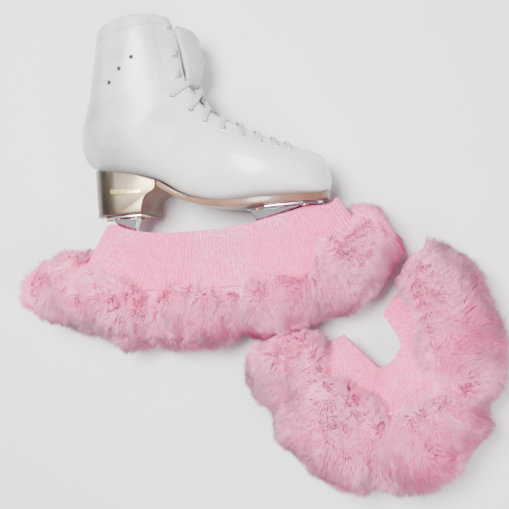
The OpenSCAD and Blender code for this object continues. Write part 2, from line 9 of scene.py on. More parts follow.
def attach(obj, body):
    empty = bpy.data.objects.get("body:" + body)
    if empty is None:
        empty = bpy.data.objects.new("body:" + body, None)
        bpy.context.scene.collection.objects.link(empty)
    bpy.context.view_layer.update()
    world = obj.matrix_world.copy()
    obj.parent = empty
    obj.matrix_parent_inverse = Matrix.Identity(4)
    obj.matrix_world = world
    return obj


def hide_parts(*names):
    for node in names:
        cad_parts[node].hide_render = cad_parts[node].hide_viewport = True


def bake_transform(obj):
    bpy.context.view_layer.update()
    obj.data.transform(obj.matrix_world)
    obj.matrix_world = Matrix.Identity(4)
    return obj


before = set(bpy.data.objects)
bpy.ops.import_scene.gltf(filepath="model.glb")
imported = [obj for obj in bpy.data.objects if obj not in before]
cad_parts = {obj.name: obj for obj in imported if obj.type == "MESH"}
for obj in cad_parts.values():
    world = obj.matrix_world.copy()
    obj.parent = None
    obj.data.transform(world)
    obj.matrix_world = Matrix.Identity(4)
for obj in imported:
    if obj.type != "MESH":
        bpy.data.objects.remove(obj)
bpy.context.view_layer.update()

bpy.ops.object.select_all(action="DESELECT")

# The studio: a pale table top, a big soft lamp over the camera's shoulder, two weaker soft lamps and a
# dim room round them. The camera looks almost straight down, a little from the toe's side.
EYE = Vector((0.1951, 0.0259, 0.7625))
AIM = Vector((0.0424, 0.0510, 0.0440))
VIEW_UP = Vector((0.0753, 0.9970, 0.0188))
LENS = 49.5

back = (EYE - AIM).normalized()
across = VIEW_UP.cross(back).normalized()
camera_data = bpy.data.cameras.new("camera")
camera_data.lens = LENS
camera_data.sensor_width = 36
camera_data.clip_start = 0.01
camera = bpy.data.objects.new("camera", camera_data)
bpy.context.collection.objects.link(camera)
camera_turn = Matrix((across, back.cross(across), back)).transposed().to_4x4()
camera.matrix_world = Matrix.Translation(EYE) @ camera_turn
bpy.context.scene.camera = camera


def soft_lamp(name, place, size, power, tint):
    data = bpy.data.lights.new(name, "AREA")
    data.shape = "DISK"
    data.size = size
    data.energy = power
    data.color = tint
    lamp = bpy.data.objects.new(name, data)
    bpy.context.collection.objects.link(lamp)
    lamp.matrix_world = Matrix.Translation(place) @ (
        (Vector(place) - AIM).to_track_quat("Z", "Y").to_matrix().to_4x4()
    )


soft_lamp("key_lamp", (-0.15, 0.30, 1.15), 0.5, 32, (1.0, 0.99, 0.98))
soft_lamp("front_lamp", (0.70, -0.55, 0.85), 0.60, 9, (1.0, 0.98, 1.0))
soft_lamp("back_lamp", (-0.80, 0.75, 0.60), 0.50, 3, (0.93, 0.97, 1.0))

room = bpy.data.worlds.new("room")
room.use_nodes = True
bpy.context.scene.world = room
ROOM_LIGHT = 0.68
room_nodes = room.node_tree.nodes
room_links = room.node_tree.links
room_place = room_nodes.new("ShaderNodeTexCoord")
room_split = room_nodes.new("ShaderNodeSeparateXYZ")
room_ramp = room_nodes.new("ShaderNodeValToRGB")
room_ramp.color_ramp.elements[0].position = 0.48
room_ramp.color_ramp.elements[0].color = (0.30, 0.33, 0.34, 1)
room_ramp.color_ramp.elements[1].position = 0.80
room_ramp.color_ramp.elements[1].color = (1.0, 1.0, 1.0, 1)
room_links.new(room_place.outputs["Generated"], room_split.inputs[0])
room_links.new(room_split.outputs["Z"], room_ramp.inputs[0])
room_links.new(room_ramp.outputs[0], room_nodes["Background"].inputs["Color"])
room_nodes["Background"].inputs["Strength"].default_value = ROOM_LIGHT


def finish(name, colour, roughness, metal=0.0):
    """A material with its shader, and a way to add nodes to it"""
    made = bpy.data.materials.new(name)
    made.use_nodes = True
    shader = made.node_tree.nodes["Principled BSDF"]
    shader.inputs["Base Color"].default_value = (*colour, 1)
    shader.inputs["Roughness"].default_value = roughness
    shader.inputs["Metallic"].default_value = metal
    return made, shader


def node_in(made, kind, **values):
    node = made.node_tree.nodes.new(kind)
    for key, value in values.items():
        if key in node.inputs:
            node.inputs[key].default_value = value
        else:
            setattr(node, key, value)
    return node


def link(made, output, target):
    made.node_tree.links.new(output, target)


def coordinates(made, kind="Object"):
    return node_in(made, "ShaderNodeTexCoord").outputs[kind]


def speckle(made, scale, detail=2.0, rough=0.5):
    """Cloudy noise over the piece"""
    node = node_in(made, "ShaderNodeTexNoise", Scale=scale, Detail=detail, Roughness=rough)
    link(made, coordinates(made), node.inputs["Vector"])
    return node.outputs["Fac"]


def blended(made, factor, stops):
    """Colours laid along a factor, as (place, colour) pairs"""
    ramp = node_in(made, "ShaderNodeValToRGB")
    while len(ramp.color_ramp.elements) < len(stops):
        ramp.color_ramp.elements.new(0.5)
    for element, (place, colour) in zip(ramp.color_ramp.elements, stops):
        element.position = place
        element.color = (*colour, 1)
    link(made, factor, ramp.inputs[0])
    return ramp.outputs[0]


def mottled(made, shader, scale, detail, dark, light):
    """Colours a shader in clouds of two close shades"""
    shades = blended(made, speckle(made, scale, detail), [(0.3, dark), (0.7, light)])
    link(made, shades, shader.inputs["Base Color"])


table_top, table_shader = finish("table_top", (0.95, 0.95, 0.95), 0.8)
mottled(table_top, table_shader, 6, 2, (0.94, 0.94, 0.945), (0.96, 0.96, 0.96))
bpy.ops.mesh.primitive_plane_add(size=6, location=(0, 0, 0))
table = bpy.context.object
table.name = "table_top"
table.data.materials.append(table_top)


# The boot's leather: smooth white leather, drawn wet over a last and glued down, with a vamp and two
# quarters whose seams are skived flat and lacquered over. It is cut away for the throat, and its collar
# is turned over a thin foam.
MM = 0.001
# Every piece of the upper follows this last. Its sections run from the toe to the collar, in millimetres
# over the sole's top: x and y of the lowest point, x and y of the highest or foremost point, half the
# width, and how square the section is below.
LAST = np.array([
    [126.5, 5, 127.5, 23, 10, 2.2], [124, 1.5, 122.5, 39, 22, 2.6], [116, 0, 112, 46, 31, 3],
    [102, 0, 98, 51, 38, 3.2], [84, 0, 80, 58.5, 43, 3.2], [62, 0, 58, 69, 46, 3.2],
    [40, 0, 38, 81, 45.5, 3.2], [20, 0.5, 22, 91.5, 43, 3.2], [2, 3.5, 12, 99, 40, 3.2],
    [-16, 9, 6, 105.5, 38, 3.2], [-33, 17.5, 2, 111.5, 36.5, 3], [-50, 29, 0, 117, 35.5, 2.8],
    [-72, 37, -1, 122, 35, 2.6], [-98, 42.5, -2, 127, 34.5, 2.4], [-120, 47, -3, 131.5, 34.5, 2.3],
    [-133, 55, -4, 135, 35, 2.2], [-138.5, 66, -5, 139, 35.5, 2.2], [-140.4, 79, -6, 144, 36, 2.2],
    [-138.5, 95, -7, 150, 36.5, 2.2], [-133, 110, -8, 156, 37.5, 2.2], [-127.5, 127, -9.5, 164, 39, 2.2],
    [-123, 145, -11.5, 173, 41, 2.2], [-119, 162, -13.5, 182, 42.5, 2.2],
    [-116, 176, -16.5, 190, 43.5, 2.2], [-114, 188, -20, 197, 44, 2.2],
])
COLLAR = len(LAST) - 1
SOLE_TOP = 106
MID_Z = 46
COLLAR_RISE = 5
FRONT_SQUARENESS = 2.1
TOE_START = 70
TOE_LENGTH = 57.5
THROAT_TOE = 100
THROAT_ROUND = 9


def through(table, i):
    """A smooth curve through the rows of a table, at any place along them"""
    last = len(table) - 1
    i = np.clip(np.asarray(i, float), 0, last)
    a = np.clip(np.floor(i).astype(int), 0, last - 1)
    f = (i - a)[..., None]
    p, q, r, s = (table[np.clip(a + k, 0, last)] for k in (-1, 0, 1, 2))
    return 0.5 * (2 * q + (r - p) * f + (2 * p - 5 * q + 4 * r - s) * f**2 + (3 * q - p - 3 * r + s) * f**3)


def section(i):
    """The last's section at any place along it"""
    return through(LAST, i)


def signed_power(v, e):
    return np.sign(v) * np.abs(v) ** e


def on_last(i, a, d=0.0):
    """Points in metres at section i, at an angle from the front in degrees, and at a depth in millimetres"""
    i, a, d = np.broadcast_arrays(np.asarray(i, float), np.asarray(a, float), np.asarray(d, float))
    r = section(i)
    a = np.radians(a)
    low = r[..., 0:2] + [0, SOLE_TOP]
    high = r[..., 2:4] + [0, SOLE_TOP]
    half = np.linalg.norm(high - low, axis=-1) / 2
    up = (high - low) / (2 * half[..., None])
    e = 2 / np.where(np.cos(a) < 0, r[..., 5], FRONT_SQUARENESS)
    c = signed_power(np.cos(a), e) * (half - d)
    s = signed_power(np.sin(a), e) * (r[..., 4] - d)
    toe = np.maximum(0, (r[..., 2] - TOE_START) / TOE_LENGTH)
    rise = COLLAR_RISE * (i / COLLAR) ** 10 * np.sin(a) ** 2
    middle = (low + high) / 2
    x = middle[..., 0] + up[..., 0] * c - d * toe
    y = middle[..., 1] + up[..., 1] * c + rise
    return np.stack([x, y, MID_Z + s], -1) * MM


def off_last(i, a):
    """The direction straight out of the last"""
    u = on_last(np.asarray(i) + 0.1, a) - on_last(np.asarray(i) - 0.1, a)
    v = on_last(i, np.asarray(a) + 1) - on_last(i, np.asarray(a) - 1)
    n = np.cross(u, v)
    return n / np.linalg.norm(n, axis=-1, keepdims=True)


def throat_edge(i):
    """Half the throat's angle at section i: round at its toe end, and wider up the shaft"""
    r = section(np.asarray(i, float))
    x, y = r[..., 2], r[..., 3]
    instep = np.interp(-x, [-THROAT_TOE, 0], [THROAT_ROUND, 17])
    shaft = np.interp(y, [119, 215], [17, 24])
    half = np.where(x > 0, instep, shaft)
    round_end = np.sqrt(np.clip(THROAT_ROUND**2 - (x - THROAT_TOE) ** 2, 0, None))
    half = np.where(x > THROAT_TOE, round_end, half)
    half = np.where(x > THROAT_TOE + THROAT_ROUND, 0, half)
    return np.degrees(np.arcsin(np.clip(half / r[..., 4], 0, 1) ** 1.05))


def solid_from(name, points, faces, uv=None):
    """A mesh object from points and faces, with its doubles merged and its faces turned outwards"""
    mesh = bpy.data.meshes.new(name)
    mesh.from_pydata(np.asarray(points).reshape(-1, 3).tolist(), [], [list(f) for f in faces])
    piece = bpy.data.objects.new(name, mesh)
    bpy.context.collection.objects.link(piece)
    if uv is not None:
        layer = mesh.uv_layers.new(name="cloth")
        corner = np.zeros(len(mesh.loops), int)
        mesh.loops.foreach_get("vertex_index", corner)
        layer.uv.foreach_set("vector", np.asarray(uv, float).reshape(-1, 2)[corner].ravel())
    bpy.ops.object.select_all(action="DESELECT")
    piece.select_set(True)
    bpy.context.view_layer.objects.active = piece
    bpy.ops.object.mode_set(mode="EDIT")
    bpy.ops.mesh.select_all(action="SELECT")
    bpy.ops.mesh.remove_doubles(threshold=0.00001)
    bpy.ops.mesh.normals_make_consistent(inside=False)
    bpy.ops.object.mode_set(mode="OBJECT")
    bpy.ops.object.shade_smooth()
    return piece


def woven(rows, columns, loop_rows=False, loop_columns=False):
    """The faces of a net of rows and columns"""
    r = np.arange(rows if loop_rows else rows - 1)
    c = np.arange(columns if loop_columns else columns - 1)
    r, c = (g.ravel() for g in np.meshgrid(r, c, indexing="ij"))
    r2, c2 = (r + 1) % rows, (c + 1) % columns
    return np.stack([r * columns + c, r * columns + c2, r2 * columns + c2, r2 * columns + c], 1)


DOME = (0.9, 0.72, 0.5, 0.25, 0)
DOME_HEIGHT = 1.7


def domed(ring):
    """The rows that close a ring at the toe's tip"""
    middle = ring.mean(0)
    rows = [middle + (ring - middle) * s + [DOME_HEIGHT * (1 - s * s) * MM, 0, 0] for s in DOME]
    return np.array(rows)


def shell_over_last(name, sections, outer, inner, roll=0.0, columns=150):
    """A layer of the upper: its outside, over the collar, and back down its inside, open at the throat"""
    sections = np.asarray(sections, float)
    edge = throat_edge(sections)[:, None]
    t = np.linspace(0, 1, columns)
    t = (1 - np.cos(t * pi)) * 0.12 + t * 0.76
    angle = edge + (360 - 2 * edge) * t
    at = sections[:, None]
    near = np.minimum(angle - edge, 360 - edge - angle)
    soft = 1.1 * (1 - np.clip(near / 2.0, 0, 1)) ** 2 * (edge > 0.1)
    outside = on_last(at, angle, outer(at, near) + soft)
    inside = on_last(at, angle, inner(at, near) - soft * 0.4)
    rows = [outside]
    if roll:
        top = at[-1:]
        lift = on_last(top, angle[-1:]) - on_last(top - 0.5, angle[-1:])
        lift /= np.linalg.norm(lift, axis=-1, keepdims=True)
        d0, d1 = outer(top, near[-1:]), inner(top, near[-1:])
        for turn in np.linspace(0, pi, 9)[1:-1]:
            d = (d0 + d1) / 2 - (d1 - d0) / 2 * cos(turn)
            rows.append(on_last(top, angle[-1:], d) + lift * roll * sin(turn) * MM)
    rows.append(inside[::-1])
    net = np.concatenate(rows, 0)
    n, last = len(sections), len(net) - 1
    faces = woven(len(net), columns).tolist()
    for k in np.flatnonzero((edge[:-1, 0] > 0.01) | (edge[1:, 0] > 0.01)):
        for j in (0, columns - 1):
            faces.append([k * columns + j, (k + 1) * columns + j,
                          (last - k - 1) * columns + j, (last - k) * columns + j])
    if roll:
        for j in (0, columns - 1):
            faces.append([r * columns + j for r in range(n - 1, len(net) - n + 1)])
    if sections[0] == 0:
        net = np.concatenate([domed(net[0])[::-1], net, domed(net[-1])])
        rim = len(net) - len(DOME)
        faces = [[v + len(DOME) * columns for v in f] for f in faces]
        shut = woven(len(DOME) + 1, columns)
        faces += shut.tolist() + (shut + (rim - 1) * columns).tolist()
    return solid_from(name, net, faces)


def toe_cap(sections):
    """Places along the last, closer together round the throat's toe end"""
    return np.unique(np.concatenate([sections, np.linspace(2.1, 2.5, 17)]).round(4))


LEATHER = 2.4
COLLAR_PAD = 4.6
ROLL = 2.3


def leather_inside(i, near):
    pad = np.clip((i - 21.8) / 0.8, 0, 1)
    return LEATHER + (COLLAR_PAD - LEATHER) * pad * pad * (3 - 2 * pad)


boot_leather = shell_over_last(
    "boot_leather", toe_cap(np.linspace(0, COLLAR, 145)), lambda i, near: 0 * i, leather_inside, roll=ROLL
)


def relief(made, shader, height, depth, strength=1.0):
    """Raises the surface by a pattern, depth in metres"""
    bump = node_in(made, "ShaderNodeBump", Strength=strength, Distance=depth)
    link(made, height, bump.inputs["Height"])
    link(made, bump.outputs[0], shader.inputs["Normal"])


def ranged(made, value, low, high, start=0.0, end=1.0):
    """A value that runs from start to end, made to run from low to high"""
    sizes = {"From Min": start, "From Max": end, "To Min": low, "To Max": high}
    node = node_in(made, "ShaderNodeMapRange", **sizes)
    link(made, value, node.inputs["Value"])
    return node.outputs[0]


def worked_out(made, operation, *values):
    """The result of a sum, where each value is a number or what another node gives"""
    node = node_in(made, "ShaderNodeMath", operation=operation)
    for socket, value in zip(node.inputs, values):
        if isinstance(value, float):
            socket.default_value = value
        else:
            link(made, value, socket)
    return node.outputs[0]


white_leather, leather_shader = finish("white_leather", (0.84, 0.84, 0.85), 0.3)
leather_split = node_in(white_leather, "ShaderNodeSeparateXYZ")
link(white_leather, coordinates(white_leather), leather_split.inputs[0])
# The colour below runs darker toward the boot's back and heel: painted shade, as if the back turned away from
# the light. Random clouds of wear lie over it.
toward_toe = ranged(white_leather, leather_split.outputs["X"], -0.3, 0.35, -0.145, 0.03)
wear_and_painted_shade = worked_out(white_leather, "ADD", speckle(white_leather, 22, 3), toward_toe)
tone = blended(white_leather, wear_and_painted_shade,
               [(0.15, (0.38, 0.41, 0.405)), (0.42, (0.60, 0.605, 0.61)), (0.85, (0.80, 0.795, 0.79))])
link(white_leather, tone, leather_shader.inputs["Base Color"])
grain = node_in(white_leather, "ShaderNodeTexVoronoi", Scale=1500.0)
link(white_leather, coordinates(white_leather), grain.inputs["Vector"])
relief(white_leather, leather_shader, grain.outputs["Distance"], 0.00006, 0.35)
link(white_leather, ranged(white_leather, speckle(white_leather, 60, 4), 0.22, 0.36),
     leather_shader.inputs["Roughness"])
leather_shader.inputs["Coat Weight"].default_value = 0.25
leather_shader.inputs["Coat Roughness"].default_value = 0.16
boot_leather.data.materials.append(white_leather)
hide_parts("vamp", "lateral_quarter", "medial_quarter")
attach(boot_leather, "skate")


# The boot's lining: a soft pale brushed fabric, cut over the same last and glued inside the leather. It
# shows at the collar and along the two edges of the throat.
def lining_outside(i, near):
    return np.maximum(leather_inside(i, near) + 0.15, 2.6 + 1.9 * np.clip((near - 4) / 14, 0, 1))


boot_lining = shell_over_last(
    "boot_lining", toe_cap(np.linspace(1, 23.2, 120)), lining_outside,
    lambda i, near: lining_outside(i, near) + 1.4, columns=110
)
lining_cloth, lining_shader = finish("lining_cloth", (0.72, 0.71, 0.70), 0.85)
mottled(lining_cloth, lining_shader, 160, 4, (0.62, 0.61, 0.60), (0.78, 0.77, 0.76))
relief(lining_cloth, lining_shader, speckle(lining_cloth, 1900, 2), 0.0002, 0.5)
lining_shader.inputs["Sheen Weight"].default_value = 0.3
boot_lining.data.materials.append(lining_cloth)
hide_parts("upper_lining")
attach(boot_lining, "skate")


# Stitching: two rows that hold the facings' stay down the shaft, one row along the throat and one under
# the collar. Each stitch is a short waxed thread sunk into the leather.
def stamped(name, shape, places):
    """Copies of one small shape, each set by a 4 x 4 matrix, as one mesh"""
    verts = np.array([v.co for v in shape.data.vertices])
    polygons = [list(p.vertices) for p in shape.data.polygons]
    places = np.array(places, float)
    cloud = np.einsum("nij,vj->nvi", places[:, :3, :3], verts) + places[:, None, :3, 3]
    faces = [[v + len(verts) * k for v in p] for k in range(len(places)) for p in polygons]
    mesh = bpy.data.meshes.new(name)
    mesh.from_pydata(cloud.reshape(-1, 3).tolist(), [], faces)
    piece = bpy.data.objects.new(name, mesh)
    bpy.context.collection.objects.link(piece)
    mesh.polygons.foreach_set("use_smooth", [p.use_smooth for p in shape.data.polygons] * len(places))
    bpy.data.objects.remove(shape)
    return piece


def standing_on(i, a, lift, toward=None):
    """A matrix on the leather: Z straight out of it and X along the last, or toward a direction"""
    out = Vector(off_last(i, a))
    along = Vector(on_last(i + 0.05, a) - on_last(i - 0.05, a)) if toward is None else Vector(toward)
    x = (along - out * along.dot(out)).normalized()
    turn = Matrix((x, out.cross(x), out)).transposed().to_4x4()
    return Matrix.Translation(Vector(on_last(i, a)) + out * lift * MM) @ turn


def stitch_row(start, end, spacing):
    """Matrices for stitches from one (section, angle) place to another"""
    start, way = np.array(start), np.array(end) - np.array(start)
    shares = np.linspace(0, 1, 60)
    line = np.array([on_last(*(start + way * t), 0.0) for t in shares])
    length = np.linalg.norm(np.diff(line, axis=0), axis=1)
    run = np.concatenate([[0], np.cumsum(length)])
    rows = []
    for d in np.arange(spacing / 2, run[-1], spacing):
        t = np.interp(d, run, shares)
        i, a = start + way * t
        j, b = start + way * min(1, t + 0.01)
        k, c = start + way * (min(1, t + 0.01) - 0.02)
        rows.append(standing_on(i, a, 0.12, on_last(j, b) - on_last(k, c)))
    return rows


bpy.ops.mesh.primitive_uv_sphere_add(segments=6, ring_count=4, radius=0.5)
thread = bpy.context.object
thread.scale = (1.8 * MM, 0.75 * MM, 0.6 * MM)
bpy.ops.object.transform_apply(scale=True)
bpy.ops.object.shade_smooth()
rows = []
for side in (1, -1):
    for angle in (58, 61.5):
        rows += stitch_row((23.55, side * (angle + 2)), (15.2, side * (angle - 4)), 2.5 * MM)
    places = np.linspace(3, 23.3, 90)
    edge = throat_edge(places) + np.degrees(np.arcsin(3.2 / section(places)[:, 4]))
    for i, j, a, b in zip(places[:-1], places[1:], edge[:-1], edge[1:]):
        rows += stitch_row((i, side * a), (j, side * b), 2.6 * MM)
rows += stitch_row((23.05, 44), (23.05, 316), 2.6 * MM)
stitching = stamped("stitching", thread, rows)
waxed_thread, thread_shader = finish("waxed_thread", (0.78, 0.78, 0.78), 0.5)
mottled(waxed_thread, thread_shader, 300, 2, (0.22, 0.225, 0.23), (0.36, 0.36, 0.355))
stitching.data.materials.append(waxed_thread)
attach(stitching, "skate")


# The tongue: a soft padded leather flap sewn in at the toe's end of the throat. It lies under the laces,
# swells out of the throat up the shaft and folds forward at its top, bending with the ankle. The toe puff,
# which shows at the throat's toe end, is given the same leather.
tongue_rows = np.linspace(2.4, 22.9, 124)
turns = np.linspace(0, 2 * pi, 73)[:-1]
tongue_net = []
for i in tongue_rows:
    end = min((i - 2.4) / 0.4, (22.9 - i) / 0.7, 1)
    end = max(end, 0.0) ** 0.5
    reach = np.interp(i, [2.4, 12.6, 15, 18, 22.9], [22, 29, 27, 30, 33]) * (0.8 + 0.2 * end)
    deep = np.interp(i, [2.4, 3.4, 5, 12.6, 13.8, 15.4, 17, 20, 22.9],
                     [7.6, 9.6, 12.6, 13, 11, 3.5, -2.4, -3.6, -3.0])
    thick = np.interp(i, [3, 12.6, 15.4, 18, 22.9], [4.6, 5, 8, 11, 11.5]) * (0.12 + 0.88 * end)
    swell = 0.9 * sin(i * 2.1) * (i > 13)
    c = signed_power(np.cos(turns), 0.75)
    s = signed_power(np.sin(turns), 0.75)
    crease = 0.7 * np.cos(c * 3 * pi) * (i > 14) * end
    half_thick = thick / 2 + swell * (s > 0) - crease * (s > 0) * 0.5
    tongue_net.append(on_last(i, reach * c, deep - half_thick * s))
tongue_net = np.array(tongue_net)
tongue_faces = woven(len(tongue_rows), 72, loop_columns=True).tolist()
tongue_faces += [list(range(72)), list(range(72 * (len(tongue_rows) - 1), 72 * len(tongue_rows)))]
tongue = solid_from("tongue", tongue_net, tongue_faces)
tongue_leather, tongue_shader = finish("tongue_leather", (0.70, 0.71, 0.73), 0.55)
mottled(tongue_leather, tongue_shader, 45, 4, (0.42, 0.43, 0.455), (0.58, 0.585, 0.60))
relief(tongue_leather, tongue_shader, speckle(tongue_leather, 900, 3), 0.00025, 0.5)
tongue_shader.inputs["Sheen Weight"].default_value = 0.25
tongue.data.materials.append(tongue_leather)
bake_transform(tongue)
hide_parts("tongue_lower", "tongue_upper")
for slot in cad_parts["toe_puff"].material_slots:
    slot.material = tongue_leather


# The lace eyelets: eight pairs of turned brass rings, painted white and clinched through the facings. A
# dark disc in each is painted shade standing in for its hole.
EYELETS = [(3.4 + 4.6 * k / 7 + 6 * (k / 7) ** 4, 42 + 12 * k / 7) for k in range(8)]
white_metal, white_metal_shader = finish("white_metal", (0.80, 0.81, 0.82), 0.22, 0.35)
mottled(white_metal, white_metal_shader, 240, 3, (0.70, 0.71, 0.73), (0.84, 0.84, 0.85))
bpy.ops.mesh.primitive_torus_add(
    major_segments=32, minor_segments=10, major_radius=2.95 * MM, minor_radius=0.8 * MM
)
ring = bpy.context.object
bpy.ops.object.shade_smooth()
eyelet_rings = stamped("eyelet_rings", ring,
                       [standing_on(i, s * a, 0.25) for i, a in EYELETS for s in (1, -1)])
eyelet_rings.data.materials.append(white_metal)
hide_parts("lace_eyelets")
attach(eyelet_rings, "skate")
# The dark disc in each eyelet is painted shade: a flat near-black sheet where the hole's inside lies in
# shadow.
painted_hole_shade, dark_shader = finish("painted_hole_shade", (0.03, 0.03, 0.032), 0.8)
mottled(painted_hole_shade, dark_shader, 200, 2, (0.02, 0.02, 0.022), (0.045, 0.045, 0.05))
bpy.ops.mesh.primitive_cylinder_add(vertices=24, radius=2.5 * MM, depth=0.3 * MM)
eyelet_hole_shade = stamped("eyelet_hole_shade", bpy.context.object,
                       [standing_on(i, s * a, 0.0) for i, a in EYELETS for s in (1, -1)])
eyelet_hole_shade.data.materials.append(painted_hole_shade)
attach(eyelet_hole_shade, "skate")


# The air vents: three small rings of dark nickel, pressed through the leather high on each quarter. A dark
# disc in each is painted shade standing in for its hole.
VENTS = [(19.7, 110), (20.3, 99), (20.7, 87)]
bpy.ops.mesh.primitive_torus_add(
    major_segments=24, minor_segments=8, major_radius=1.9 * MM, minor_radius=0.5 * MM
)
ring = bpy.context.object
bpy.ops.object.shade_smooth()
vent_rings = stamped("vent_rings", ring, [standing_on(i, s * a, 0.15) for i, a in VENTS for s in (1, -1)])
dark_nickel, nickel_shader = finish("dark_nickel", (0.16, 0.16, 0.17), 0.35, 0.9)
link(dark_nickel, ranged(dark_nickel, speckle(dark_nickel, 300), 0.25, 0.5),
     nickel_shader.inputs["Roughness"])
vent_rings.data.materials.append(dark_nickel)
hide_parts("vent_eyelets")
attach(vent_rings, "skate")
# The dark disc in each vent ring is painted shade for the hole's shadowed inside.
bpy.ops.mesh.primitive_cylinder_add(vertices=20, radius=1.7 * MM, depth=0.3 * MM)
vent_hole_shade = stamped("vent_hole_shade", bpy.context.object,
                     [standing_on(i, s * a, 0.02) for i, a in VENTS for s in (1, -1)])
vent_hole_shade.data.materials.append(painted_hole_shade)
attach(vent_hole_shade, "skate")


# The lace hooks: three on each facing, pressed from steel and painted white. Each has a riveted foot, a
# neck, and a plate folded back over the lace's path.
HOOKS = [(17 + 5.7 * k / 2, 42) for k in range(3)]
bpy.ops.mesh.primitive_cube_add(size=1, location=(2 * MM, 0, 4.9 * MM), scale=(7 * MM, 5.4 * MM, 1.2 * MM))
plate = bpy.context.object
bpy.ops.mesh.primitive_cube_add(size=1, location=(-1 * MM, 0, 2.6 * MM), scale=(1.4 * MM, 4.2 * MM, 5 * MM))
neck = bpy.context.object
bpy.ops.mesh.primitive_cylinder_add(vertices=28, radius=3.7 * MM, depth=1.1 * MM, location=(0, 0, 0.55 * MM))
foot = bpy.context.object
for part in (plate, neck, foot):
    part.select_set(True)
bpy.context.view_layer.objects.active = foot
bpy.ops.object.join()
bpy.ops.object.transform_apply(location=True, rotation=True, scale=True)
rounding = foot.modifiers.new("rounding", "BEVEL")
rounding.width = 0.35 * MM
rounding.segments = 3
bpy.ops.object.modifier_apply(modifier="rounding")
bpy.ops.object.shade_smooth_by_angle(angle=radians(40))
lace_hooks = stamped("lace_hooks", foot, [standing_on(i, s * a, 0.3) for i, a in HOOKS for s in (1, -1)])
lace_hooks.data.materials.append(white_metal)
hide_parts("lateral_hooks", "medial_hooks")
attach(lace_hooks, "skate")


# The lace: a flat woven cotton ribbon, threaded up through each eyelet, across the throat and under the
# other facing, with its two ends tucked in at the ankle.
def threaded(side):
    """One strand's places as section, angle, depth and share of its full width"""
    places = []
    for k in range(8):
        s = side if k % 2 == 0 else -side
        i, a = EYELETS[k]
        lip = float(throat_edge(i + 0.2))
        places += [(i, s * a, 7.6, 0.55), (i, s * a, 1.0, 0.5), (i + 0.02, s * (a - 1), -2.2, 0.6)]
        if k < 7:
            step = EYELETS[k + 1][0]
            middle = (i + step) / 2
            late = middle + min(0.35, (step - i) / 3)
            places += [(i + 0.2, s * (lip + 3), -2.3, 0.95),
                       (middle, s * 4, -0.8 if s > 0 else 1.4, 1.0),
                       (late, -s * (float(throat_edge(late)) - 4), 6.2, 0.95)]
        else:
            places += [(i + 0.5, s * (lip + 2), -2.3, 0.95), (i + 0.8, s * (lip - 8), 2.0, 0.95),
                       (i + 1.0, s * (lip - 22), 4.2, 0.9)]
    return places


def ribbon(name, places, width, thick):
    """A flat cord through a list of places, narrower where it is drawn through an eyelet"""
    places = np.array(places)
    centre = on_last(places[:, 0], places[:, 1], places[:, 2])
    wide = on_last(places[:, 0] + 0.1, places[:, 1]) - on_last(places[:, 0] - 0.1, places[:, 1])
    wide /= np.linalg.norm(wide, axis=1, keepdims=True)
    t = np.linspace(0, len(places) - 1, 12 * len(places))
    c, w = through(centre, t), through(wide, t)
    share = np.clip(through(places[:, 3:4], t), 0.4, 1)
    ahead = np.gradient(c, axis=0)
    ahead /= np.linalg.norm(ahead, axis=1, keepdims=True)
    w -= ahead * (w * ahead).sum(1, keepdims=True)
    w /= np.linalg.norm(w, axis=1, keepdims=True)
    n = np.cross(ahead, w)
    turn = np.linspace(0, 2 * pi, 21)[:-1]
    across = signed_power(np.cos(turn), 0.6)[None, :, None] * width / 2 * MM
    up = signed_power(np.sin(turn), 0.8)[None, :, None] * thick / 2 * MM
    net = c[:, None] + w[:, None] * across * share[:, None] + n[:, None] * up / share[:, None] ** 0.4
    run = np.concatenate([[0], np.cumsum(np.linalg.norm(np.diff(c, axis=0), axis=1))])
    over = signed_power(np.cos(turn), 0.6)[None] * width / 20
    uv = np.stack(np.broadcast_arrays(run[:, None] * 100, over), -1)
    faces = woven(len(t), 20, loop_columns=True).tolist()
    faces += [list(range(20)), list(range(20 * (len(t) - 1), 20 * len(t)))]
    return solid_from(name, net, faces, uv=uv)


LACE_WIDTH = 6.2
LACE_THICKNESS = 1.25
bar = [(EYELETS[0][0], a, 8.0, 0.9) for a in (28, 10, -10, -28)]
lace = ribbon("lace", threaded(1)[::-1] + bar + threaded(-1), LACE_WIDTH, LACE_THICKNESS)
lace_cotton, lace_shader = finish("lace_cotton", (0.80, 0.80, 0.80), 0.8)
mottled(lace_cotton, lace_shader, 120, 3, (0.70, 0.70, 0.71), (0.85, 0.85, 0.85))
weave = node_in(lace_cotton, "ShaderNodeTexWave", wave_type="BANDS", bands_direction="DIAGONAL",
                Scale=9.0, Distortion=0.6)
link(lace_cotton, coordinates(lace_cotton, "UV"), weave.inputs["Vector"])
relief(lace_cotton, lace_shader, weave.outputs["Fac"], 0.0004, 0.7)
lace.data.materials.append(lace_cotton)
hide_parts("lace", "lace_tips")
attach(lace, "skate")


# The outsole: brown sole leather with its edge trimmed square and burnished, glued under the boot. The
# boards that stiffen the boot inside take the same leather, and its foam and footbed take the lining cloth.
SHARP_EDGE = 35


